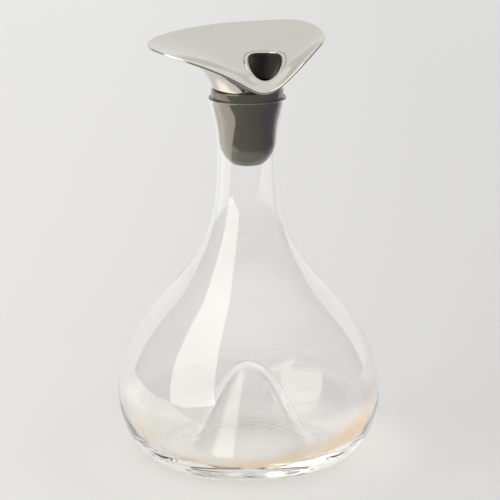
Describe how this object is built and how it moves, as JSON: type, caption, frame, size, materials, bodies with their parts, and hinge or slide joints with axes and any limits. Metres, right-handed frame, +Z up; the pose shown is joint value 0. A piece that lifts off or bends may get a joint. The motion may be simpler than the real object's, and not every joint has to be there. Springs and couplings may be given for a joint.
{
  "type": "wine carafe",
  "caption": "Round-bellied clear glass carafe with a punt in its base, a dark rubber bung in the neck and a polished leaf-shaped spout that turns, with its opening beside the axis.",
  "frame": {"origin": "on the axis of the glass, in the plane that its foot rests on", "axes": "+Z up the axis through the neck; +X towards the side on which the spout's opening lies; -Y towards the low front lip of the spout"},
  "size_m": [0.18, 0.18, 0.2972],
  "materials": {
    "glass": "clear blown glass, fire polished",
    "rubber": "smooth olive grey, slightly glossy",
    "black_plastic": "black, satin",
    "polished_steel": "mirror polished"
  },
  "bodies": {
    "vessel": {"glass_vessel": "glass"},
    "stopper": {"bung": "rubber", "pour_tube": "black_plastic"},
    "spout": {"spout_leaf": "polished_steel", "throat_liner": "black_plastic"}
  },
  "joints": [
    {"name": "stopper_lift", "type": "slide", "parent": "vessel", "child": "stopper", "axis": [0, 0, 1], "range_m": [0, 0.1]},
    {"name": "spout_turn", "type": "hinge", "parent": "stopper", "child": "spout", "pos_m": [0, 0, 0.2601], "axis": [0, 0, 1], "continuous": true}
  ]
}
